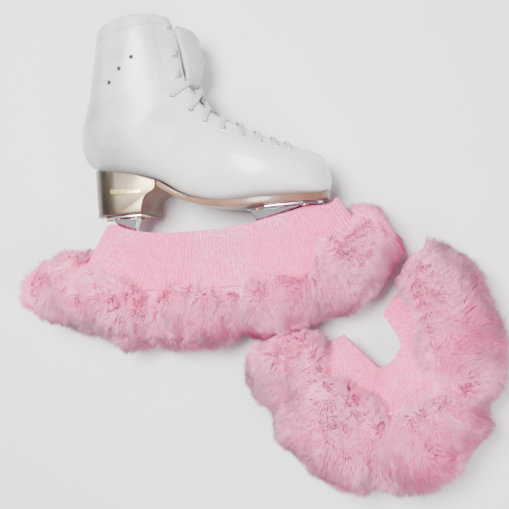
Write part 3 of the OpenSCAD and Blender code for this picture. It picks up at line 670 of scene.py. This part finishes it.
def finished_copy(name, node, rounding, material):
    """A copy of a plain CAD piece with its sharp edges rounded off, and its own finish"""
    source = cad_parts[node]
    mesh = source.data.copy()
    mesh.transform(source.matrix_world)
    mesh.materials.clear()
    piece = bpy.data.objects.new(name, mesh)
    bpy.context.collection.objects.link(piece)
    bpy.ops.object.select_all(action="DESELECT")
    piece.select_set(True)
    bpy.context.view_layer.objects.active = piece
    bpy.ops.object.mode_set(mode="EDIT")
    bpy.ops.mesh.select_all(action="SELECT")
    bpy.ops.mesh.remove_doubles(threshold=0.00001)
    bpy.ops.mesh.normals_make_consistent(inside=False)
    bpy.ops.mesh.dissolve_limited(angle_limit=radians(0.8))
    bpy.ops.object.mode_set(mode="OBJECT")
    edge = piece.modifiers.new("rounding", "BEVEL")
    edge.width = rounding * MM
    edge.segments = 3
    edge.limit_method = "ANGLE"
    edge.angle_limit = radians(SHARP_EDGE)
    edge.use_clamp_overlap = True
    bpy.ops.object.modifier_apply(modifier="rounding")
    bpy.ops.object.shade_smooth_by_angle(angle=radians(SHARP_EDGE))
    piece.data.materials.append(material)
    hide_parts(node)
    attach(piece, "skate")


sole_leather, sole_shader = finish("sole_leather", (0.33, 0.17, 0.11), 0.35)
mottled(sole_leather, sole_shader, 40, 5, (0.15, 0.065, 0.04), (0.25, 0.12, 0.075))
relief(sole_leather, sole_shader, speckle(sole_leather, 700, 3), 0.0002, 0.3)
sole_shader.inputs["Coat Weight"].default_value = 0.3
finished_copy("sole", "outsole", 0.5, sole_leather)
INSIDE = {"heel_counter": sole_leather, "lasting_board": sole_leather,
          "collar_foam": lining_cloth, "footbed": lining_cloth}
for node, cover in INSIDE.items():
    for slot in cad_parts[node].material_slots:
        slot.material = cover


# The heel: stacked leather under a lacquered cover with a bronze sheen, darker toward its back, with one
# small raised gilt bar on its side.
heel_leather, heel_leather_shader = finish("heel_leather", (0.16, 0.085, 0.06), 0.5)
mottled(heel_leather, heel_leather_shader, 60, 5, (0.11, 0.055, 0.04), (0.22, 0.12, 0.08))
finished_copy("heel_stack", "heel_block", 0.4, heel_leather)
bronze, bronze_shader = finish("heel_bronze", (0.20, 0.15, 0.10), 0.32, 0.8)
heel_split = node_in(bronze, "ShaderNodeSeparateXYZ")
link(bronze, coordinates(bronze), heel_split.inputs[0])
# The cover's colour runs darker toward the heel's back, with random clouds over it.
along_heel = ranged(bronze, heel_split.outputs["X"], 0.0, 0.85, -0.126, -0.055)
tone_darker_to_back = worked_out(bronze, "ADD", along_heel, ranged(bronze, speckle(bronze, 26, 4), -0.2, 0.25))
bronze_tone = blended(bronze, tone_darker_to_back,
                      [(0.0, (0.045, 0.04, 0.035)), (0.45, (0.13, 0.10, 0.07)), (1.0, (0.30, 0.22, 0.13))])
link(bronze, bronze_tone, bronze_shader.inputs["Base Color"])
link(bronze, ranged(bronze, speckle(bronze, 70, 5), 0.22, 0.45), bronze_shader.inputs["Roughness"])
relief(bronze, bronze_shader, speckle(bronze, 500, 3), 0.0002, 0.25)
bronze_shader.inputs["Coat Weight"].default_value = 0.3
finished_copy("heel_shell", "heel_cover", 0.8, bronze)
gold, gold_shader = finish("gold_trim", (0.78, 0.55, 0.24), 0.25, 1.0)
link(gold, ranged(gold, speckle(gold, 200, 3), 0.18, 0.4), gold_shader.inputs["Roughness"])
finished_copy("heel_bar", "heel_badge", 0.3, gold)


# The blade: a chromed steel runner held by two stanchions, each brazed to a plate under the boot. All five
# are plated together, the edges of the stanchions rounder than the rest.
chrome, chrome_shader = finish("chrome", (0.77, 0.78, 0.80), 0.1, 1.0)
mottled(chrome, chrome_shader, 30, 3, (0.66, 0.67, 0.68), (0.80, 0.81, 0.83))
link(chrome, ranged(chrome, speckle(chrome, 90, 6), 0.05, 0.22), chrome_shader.inputs["Roughness"])
relief(chrome, chrome_shader, speckle(chrome, 120, 2), 0.0001, 0.15)
for node, rounding in (("heel_plate", 0.5), ("sole_plate", 0.5), ("heel_stanchion", 1.2),
                       ("sole_stanchion", 1.2)):
    finished_copy(node + "_plated", node, rounding, chrome)
finished_copy("blade_runner", "runner", 0.4, chrome)


# The mounting screws: turned from brass, six under the sole and five under the heel. They hold the
# blade's two plates to the boot.
brass, brass_shader = finish("brass", (0.62, 0.40, 0.20), 0.3, 1.0)
mottled(brass, brass_shader, 400, 2, (0.50, 0.30, 0.15), (0.68, 0.45, 0.24))
finished_copy("heel_screws_turned", "heel_screws", 0.15, brass)
finished_copy("sole_screws_turned", "sole_screws", 0.15, brass)


# The fitted cover's cuff: a ribbed knit band with silver thread in it, stretched over the blade in a
# closed ring, its ribs upright. Its foot is sewn into the fur and its rim is turned over.
FUR_DROP = 53
RIM = np.array([(-119, 41), (-108, 40.5), (-90, 33.5), (-60, 27.5), (-20, 26), (20, 27.5), (50, 31), (85, 38),
                (104, 41.8), (125, 42.2), (134, 49)], float)
FOOT = np.array([(-152, -10), (-110, -28), (0, -34), (100, -26), (140, -4), (156, 14)], float)


def along_line(points, s):
    """Points at shares of a smooth line's length"""
    fine = through(points, np.linspace(0, len(points) - 1, 400))
    run = np.concatenate([[0], np.cumsum(np.linalg.norm(np.diff(fine, axis=0), axis=1))])
    return np.stack([np.interp(s * run[-1], run, fine[:, k]) for k in (0, 1)], -1)


def knit_ring(name, ribs, rib, half_rim, half_foot, wall, drop, fineness):
    """A closed ring of knit between the foot line and the rim line, out, over and back down inside"""
    columns = ribs * fineness * 2
    u = np.arange(columns) / columns
    s = np.where(u < 0.5, u * 2, 2 - u * 2)
    side = np.where(u < 0.5, 1, -1)
    round_end = np.clip(1 - np.abs(2 * s - 1) ** 16, 0, 1) ** 0.5
    top, foot = along_line(RIM, s), along_line(FOOT, s)
    out = np.linspace(0, 1, 22)
    turnover = [(1.0 + 0.018 * sin(a), wall * (1 - cos(a)) / 2) for a in np.linspace(0, pi, 7)[1:-1]]
    rows = []
    for v, deep in [(v, 0.0) for v in out] + turnover + [(v, wall) for v in out[::-1]]:
        v2 = v - drop
        x = foot[:, 0] + (top[:, 0] - foot[:, 0]) * v2
        y = foot[:, 1] + (top[:, 1] - foot[:, 1]) * v2 + FUR_DROP
        half = half_foot + (half_rim - half_foot) * min(v, 1) ** 1.5 - deep
        waves = (rib * np.cos(2 * pi * ribs * 2 * u) * (1 if deep == 0 else 0.4)
                 * min(1, (1.05 - min(v, 1)) * 9))
        ends = 1 - round_end
        inward = np.sign(0.5 - s) * deep * ends
        z = MID_Z + side * round_end * (half + waves)
        rows.append(np.stack([x + inward - np.sign(0.5 - s) * waves * ends, y, z], -1) * MM)
    net = np.array(rows)
    faces = woven(len(net), columns, loop_rows=True, loop_columns=True).tolist()
    uv = np.stack(np.broadcast_arrays(u[None] * 10, np.linspace(0, 1, len(net))[:, None]), -1)
    return solid_from(name, net, faces, uv=uv)


def knitted(name, glitter):
    """A pink rib knit, with glinting silver thread where a cloudy band runs"""
    made, shader = finish(name, (0.95, 0.16, 0.42), 0.8)
    wool = blended(made, speckle(made, 260, 3), [(0.3, (0.86, 0.10, 0.34)), (0.7, (0.98, 0.22, 0.50))])
    cells = node_in(made, "ShaderNodeTexVoronoi", Scale=900.0)
    link(made, coordinates(made), cells.inputs["Vector"])
    cell_shade = node_in(made, "ShaderNodeSeparateColor")
    link(made, cells.outputs["Color"], cell_shade.inputs[0])
    glint = worked_out(made, "GREATER_THAN", cell_shade.outputs[0], 0.72)
    band = ranged(made, speckle(made, 14, 2), 0.0, glitter, 0.46, 0.62)
    silver = worked_out(made, "MULTIPLY", glint, band)
    mix = node_in(made, "ShaderNodeMix", data_type="RGBA")
    link(made, silver, mix.inputs["Factor"])
    link(made, wool, mix.inputs[6])
    mix.inputs[7].default_value = (0.85, 0.80, 0.84, 1)
    link(made, mix.outputs[2], shader.inputs["Base Color"])
    link(made, worked_out(made, "MULTIPLY", silver, 0.8), shader.inputs["Metallic"])
    relief(made, shader, speckle(made, 1500, 3), 0.0004, 0.6)
    shader.inputs["Sheen Weight"].default_value = 0.3
    return made


pink_knit = knitted("pink_knit", 0.75)
fitted_cuff = knit_ring("fitted_rib_cuff", 74, 0.85, 11.4, 12.6, 2.8, 0.0, 8)
fitted_cuff.data.materials.append(pink_knit)
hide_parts("fitted_cuff")
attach(fitted_cuff, "fitted_cover")


# The fitted cover's lining: looped towelling that dries the blade. It is a second closed ring inside the
# cuff, sewn in a little lower than the cuff's rim.
towelling, towel_shader = finish("towelling", (0.86, 0.45, 0.60), 0.95)
mottled(towelling, towel_shader, 400, 3, (0.74, 0.20, 0.38), (0.92, 0.40, 0.58))
relief(towelling, towel_shader, speckle(towelling, 1300, 2), 0.0006, 0.8)
towel_shader.inputs["Sheen Weight"].default_value = 0.4
fitted_towel = knit_ring("fitted_towelling", 60, 0.15, 8.3, 9.2, 1.3, 0.1, 4)
fitted_towel.data.materials.append(towelling)
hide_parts("fitted_lining")
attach(fitted_towel, "fitted_cover")


# The spare cover's cuff: the same knit, relaxed and curled round on itself. It is one folded band, sewn
# into the fur along its seam and open along its free edge.
SEAM = np.array([(84, -112), (96, -134), (112, -158), (132, -178), (160, -190), (196, -186), (222, -168),
                 (236, -138), (241, -108), (238, -80), (224, -54), (210, -36)], float)
EDGE = np.array([(128, -92), (136, -101), (146, -112), (155, -121), (163, -128), (172, -125), (181, -116),
                 (186, -106), (184, -96), (178, -84), (172, -72), (180, -58)], float)
SPARE_Z = 35


def knit_channel(name, ribs, rib, outer_seam, outer_edge, wall, fineness, inset=0.0):
    """A folded band of knit from the seam's line to the free edge: over, round the rim and back, twice"""
    columns = ribs * fineness + 1
    s = np.linspace(0, 1, columns)
    at = s * (len(SEAM) - 1)
    seam, edge = through(SEAM, at), through(EDGE, at)
    edge = seam + (edge - seam) * (1 - inset)
    waves = rib * np.cos(2 * pi * ribs * s)
    reach = np.linspace(0, 1, 16)
    rows = []
    lip = [(1 + 0.02 * sin(a), 0.5 - 0.5 * cos(a)) for a in np.linspace(0, pi, 6)[1:-1]]
    shape = [(v, 0.0) for v in reach] + lip + [(v, 1.0) for v in reach[:0:-1]] + [(0.07, 1.0)]
    for sign in (1, -1):
        for v, inner in (shape if sign > 0 else shape[::-1]):
            height = outer_seam + (outer_edge - outer_seam) * min(v, 1) - wall * inner
            ripple = waves * (1 if inner == 0 else 0.4) * min(1, (1.06 - min(v, 1)) * 8)
            point = seam + (edge - seam) * v
            rows.append(np.column_stack([point[:, 0], point[:, 1] + FUR_DROP,
                                         SPARE_Z + sign * (height + ripple)]) * MM)
    net = np.array(rows)
    faces = woven(len(net), columns, loop_rows=True).tolist()
    n = len(net)
    faces += [[k * columns for k in range(n)], [k * columns + columns - 1 for k in range(n)]]
    uv = np.stack(np.broadcast_arrays(s[None] * 10, np.linspace(0, 1, n)[:, None]), -1)
    return solid_from(name, net, faces, uv=uv)


spare_cuff = knit_channel("spare_rib_cuff", 84, 0.8, 9.2, 6.2, 2.4, 8)
spare_cuff.data.materials.append(knitted("spare_knit", 0.55))
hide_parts("spare_cuff")
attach(spare_cuff, "spare_cover")


# The spare cover's lining: the same looped towelling, folded inside the cuff and sewn to it a little short
# of the free edge.
spare_towel = knit_channel("spare_towelling", 60, 0.12, 6.2, 3.6, 1.2, 4, inset=0.08)
spare_towel.data.materials.append(towelling)
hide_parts("spare_lining")
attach(spare_towel, "spare_cover")


# The covers' fur: long soft acrylic pile on a knit back, stuffed full, and gathered by the seams into
# puffs. Under the pile is a padded roll, and the pile itself is tens of thousands of fine tapering
# tufts, leaning in clumps.
FITTED_FUR = np.array([
    [-219, -40, 8, 0.35], [-213, -36, 22, 0.7], [-198, -28, 34, 0.9], [-172, -25, 40, 1],
    [-142, -34, 41, 1.02], [-112, -48, 40, 1], [-80, -56, 39, 1.02], [-45, -57, 37, 0.98],
    [-10, -53, 40, 1.03], [25, -54, 38, 1], [60, -50, 37, 1], [92, -44, 38, 1.02], [120, -30, 40, 1.03],
    [142, -12, 40, 1], [160, 3, 37, 0.96], [176, 12, 27, 0.8], [184, 16, 12, 0.45]])
SPARE_FUR = np.array([
    [54, -90, 14, 0.4], [57, -96, 30, 0.7], [66, -112, 42, 0.9], [78, -136, 47, 1],
    [94, -164, 47, 1.02], [116, -190, 47, 1], [146, -207, 44, 1.03], [180, -210, 42, 1],
    [210, -194, 38, 1.02], [232, -165, 37, 1], [241, -132, 36, 1.02], [243, -98, 36, 1],
    [234, -64, 35, 1.02], [222, -36, 31, 0.95], [214, -20, 23, 0.75], [210, -11, 10, 0.4]])
FUR_VALLEYS = {"fitted": ((-70, -55), (20, -54), (97, -42)), "spare": ((84, -140), (160, -212), (238, -160))}


FUR_HIGH = 38
FUR_MID_Z = 35
PILE_LENGTH = 15.5


def cloud(points, size, seed):
    """Smooth noise at points in millimetres, about -1 to 1, with lumps of a given size"""
    dice = np.random.default_rng(seed)
    waves = dice.normal(size=(3, 14))
    waves *= 2 * pi / size / 1.8
    return np.sin(points @ waves + dice.uniform(0, 2 * pi, 14)).sum(-1) / 14**0.5


def fur_skin(path, s, turn, valleys, seed, thin):
    """Points on a fur roll in millimetres, at s along it and turn round it, with the ways out and round"""
    r = through(path, s)
    ahead = (through(path, s + 0.05) - through(path, s - 0.05))[..., :2]
    ahead /= np.linalg.norm(ahead, axis=-1, keepdims=True)
    across = np.stack([-ahead[..., 1], ahead[..., 0]], -1)
    dip = sum(np.exp(-((r[..., 0] - x) ** 2 + (r[..., 1] - y) ** 2) / 14**2) for x, y in valleys)
    half = np.maximum(r[..., 2] - thin - 11 * dip, 0.4)
    high = np.maximum(FUR_HIGH * r[..., 3] - thin - 14 * dip, 0.4)
    c, z = np.cos(turn), np.sin(turn)
    place = np.stack([r[..., 0] + across[..., 0] * half * c, r[..., 1] + across[..., 1] * half * c + FUR_DROP,
                      FUR_MID_Z + high * z], -1)
    out = np.stack([across[..., 0] * c / half, across[..., 1] * c / half, z / high], -1)
    out /= np.linalg.norm(out, axis=-1, keepdims=True)
    puff = 3.0 * cloud(place, 66, seed) + 0.9 * cloud(place, 26, seed + 1)
    place = place + out * (puff * np.clip((half - 2) / 20, 0, 1))[..., None]
    place[..., 2] = np.maximum(place[..., 2], 1.2)
    round_it = np.stack([-across[..., 0] * z, -across[..., 1] * z, c], -1)
    return place, out, round_it


pink_fur, fur_shader = finish("pink_fur", (0.87, 0.35, 0.55), 0.85)
tip = node_in(pink_fur, "ShaderNodeAttribute", attribute_name="pile")
clouds = speckle(pink_fur, 15, 5, rough=0.6)
fine_clouds = speckle(pink_fur, 90, 3)
all_clouds = worked_out(pink_fur, "MULTIPLY_ADD", fine_clouds, 0.34, clouds)
# Each tuft is coloured darker at its root than at its tip: painted shade deep in the pile. Random clouds of
# lighter and deeper pink lie over it.
root_shade_and_clouds = worked_out(pink_fur, "MULTIPLY_ADD", tip.outputs["Fac"], 0.22, all_clouds)
fur_tone = blended(pink_fur, root_shade_and_clouds, [
    (0.42, (0.42, 0.09, 0.20)), (0.54, (0.82, 0.13, 0.34)),
    (0.68, (0.95, 0.20, 0.46)), (0.92, (1.0, 0.40, 0.64))])
link(pink_fur, fur_tone, fur_shader.inputs["Base Color"])
fur_shader.inputs["Sheen Weight"].default_value = 0.15
fur_shader.inputs["Sheen Roughness"].default_value = 0.4
fur_shader.inputs["Sheen Tint"].default_value = (1.0, 0.8, 0.88, 1)


def fur_roll(name, path, valleys, seed, thin, body, node):
    """The padded roll under a cover's pile"""
    s = np.linspace(0, len(path) - 1, 230)[:, None]
    turn = np.linspace(0, 2 * pi, 65)[:-1][None]
    s, turn = np.broadcast_arrays(s, turn)
    place = fur_skin(path, s, turn, valleys, seed, thin)[0]
    faces = woven(230, 64, loop_columns=True).tolist() + [list(range(64)), list(range(64 * 229, 64 * 230))]
    roll = solid_from(name, place * MM, faces)
    roll.data.materials.append(pink_fur)
    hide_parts(node)
    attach(roll, body)


def fur_pile(name, path, valleys, seed, thin, body, first, last, count, hidden):
    """One share of a cover's pile: slender four-sided tufts rooted on the roll and leaning in clumps"""
    dice = np.random.default_rng(seed + first * 100)
    s = dice.uniform(first, last, count * 3)
    turn = dice.uniform(radians(-62), radians(242), count * 3)
    step = np.linalg.norm((through(path, s + 0.05) - through(path, s - 0.05))[:, :2], axis=1)
    weight = step * (through(path, s)[:, 2] + 4)
    keep = dice.uniform(0, weight.max(), count * 3) < weight
    s, turn = s[keep], turn[keep]
    root, out, round_it = fur_skin(path, s, turn, valleys, seed, thin)
    shown = ~hidden(root, turn)
    root, out, round_it, turn = (v[shown][:count] for v in (root, out, round_it, turn))
    n = len(root)
    lean = np.stack([cloud(root, 34, seed + 10 + k) for k in range(3)], -1) * 0.5
    lean += np.stack([cloud(root, 11, seed + 20 + k) for k in range(3)], -1) * 0.22
    lean += round_it * (np.clip(np.sin(turn) + 0.3, 0, 1) * 0.55)[:, None]
    way = 0.6 * out + lean + dice.normal(0, 0.13, (n, 3))
    raised = (way * out).sum(1, keepdims=True)
    way += out * np.maximum(0, 0.38 - raised)
    way /= np.linalg.norm(way, axis=1, keepdims=True)
    shorter = 1 - 0.25 * np.clip(cloud(root, 40, seed + 30), 0, 1)
    length = PILE_LENGTH * dice.uniform(0.65, 1.1, n) * shorter
    point = root + way * length[:, None]
    heads = dice.choice(n, max(1, n // 22), replace=False)
    tree = KDTree(len(heads))
    for k, h in enumerate(heads):
        tree.insert(root[h], k)
    tree.balance()
    near = heads[[tree.find(p)[1] for p in root]]
    point += (point[near] - point) * dice.uniform(0.05, 0.35, n)[:, None]
    root = root - out * 1.5
    point[:, 2] = np.maximum(point[:, 2], 0.8)
    root[:, 2] = np.maximum(root[:, 2], 1.4)
    ahead = point - root
    ahead /= np.linalg.norm(ahead, axis=1, keepdims=True)
    u = np.cross(ahead, dice.normal(size=(n, 3)))
    u /= np.linalg.norm(u, axis=1, keepdims=True)
    v = np.cross(ahead, u)
    wide = dice.uniform(0.38, 0.55, n)[:, None]
    foot = [root + (u * cos(a) + v * sin(a)) * wide for a in (0, 2 * pi / 3, 4 * pi / 3)]
    verts = np.stack(foot + [point], 1)
    verts[..., 2] = np.maximum(verts[..., 2], 0.5)
    corners = (np.arange(n)[:, None] * 4 + np.array([0, 1, 3, 1, 2, 3, 2, 0, 3, 0, 2, 1])).ravel()
    mesh = bpy.data.meshes.new(name)
    mesh.vertices.add(4 * n)
    mesh.vertices.foreach_set("co", (verts * MM).astype(np.float32).ravel())
    mesh.loops.add(len(corners))
    mesh.loops.foreach_set("vertex_index", corners.astype(np.int32))
    mesh.polygons.add(4 * n)
    mesh.polygons.foreach_set("loop_start", np.arange(0, 12 * n, 3, dtype=np.int32))
    mesh.update(calc_edges=True)
    mesh.polygons.foreach_set("use_smooth", np.ones(4 * n, bool))
    # The pile attribute runs from 0 at each root to 1 at its tip, shifted at random per tuft; the fur's
    # colour uses it for painted shade at the roots.
    shade = mesh.attributes.new("pile", "FLOAT", "POINT")
    tips = np.tile([0, 0, 0, 1.0], n).astype(np.float32)
    uneven = np.repeat(dice.normal(0, 0.12, n), 4).astype(np.float32)
    shade.data.foreach_set("value", tips + uneven)
    flat = verts.reshape(-1, 3)[:, :2]
    flat = (flat - flat.min(0)) / np.ptp(flat, 0)
    flat[:, 1] = flat[:, 1] * 0.49 + np.repeat(root[:, 2] < FUR_MID_Z, 4) * 0.5
    layer = mesh.uv_layers.new(name="OFBake")
    layer.uv.foreach_set("vector", flat[corners].astype(np.float32).ravel())
    mesh.materials.append(pink_fur)
    tufts = bpy.data.objects.new(name, mesh)
    bpy.context.collection.objects.link(tufts)
    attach(tufts, body)


def under_fitted_cuff(root, turn):
    foot = np.interp(root[:, 0], FOOT[:, 0], FOOT[:, 1]) + FUR_DROP
    return (np.abs(root[:, 2] - MID_Z) < 11) & (root[:, 1] > foot - 1) & (np.abs(root[:, 0]) < 152)


def under_spare_cuff(root, turn):
    return (np.abs(root[:, 2] - SPARE_Z) < 8) & (np.cos(turn) > 0.5)


TUFTS = 40000
fur_roll("fitted_fur_roll", FITTED_FUR, FUR_VALLEYS["fitted"], 3, 5, "fitted_cover", "fitted_fur")
fur_roll("spare_fur_roll", SPARE_FUR, FUR_VALLEYS["spare"], 7, 2, "spare_cover", "spare_fur")
for part, first, last in (("heel", 0, 6), ("middle", 6, 11), ("toe", 11, 16)):
    fur_pile("fitted_pile_" + part, FITTED_FUR, FUR_VALLEYS["fitted"], 3, 5, "fitted_cover", first, last,
             TUFTS, under_fitted_cuff)
for part, first, last in (("near", 0, 5), ("bottom", 5, 9), ("far", 9, 15)):
    fur_pile("spare_pile_" + part, SPARE_FUR, FUR_VALLEYS["spare"], 7, 2, "spare_cover", first, last,
             TUFTS, under_spare_cuff)
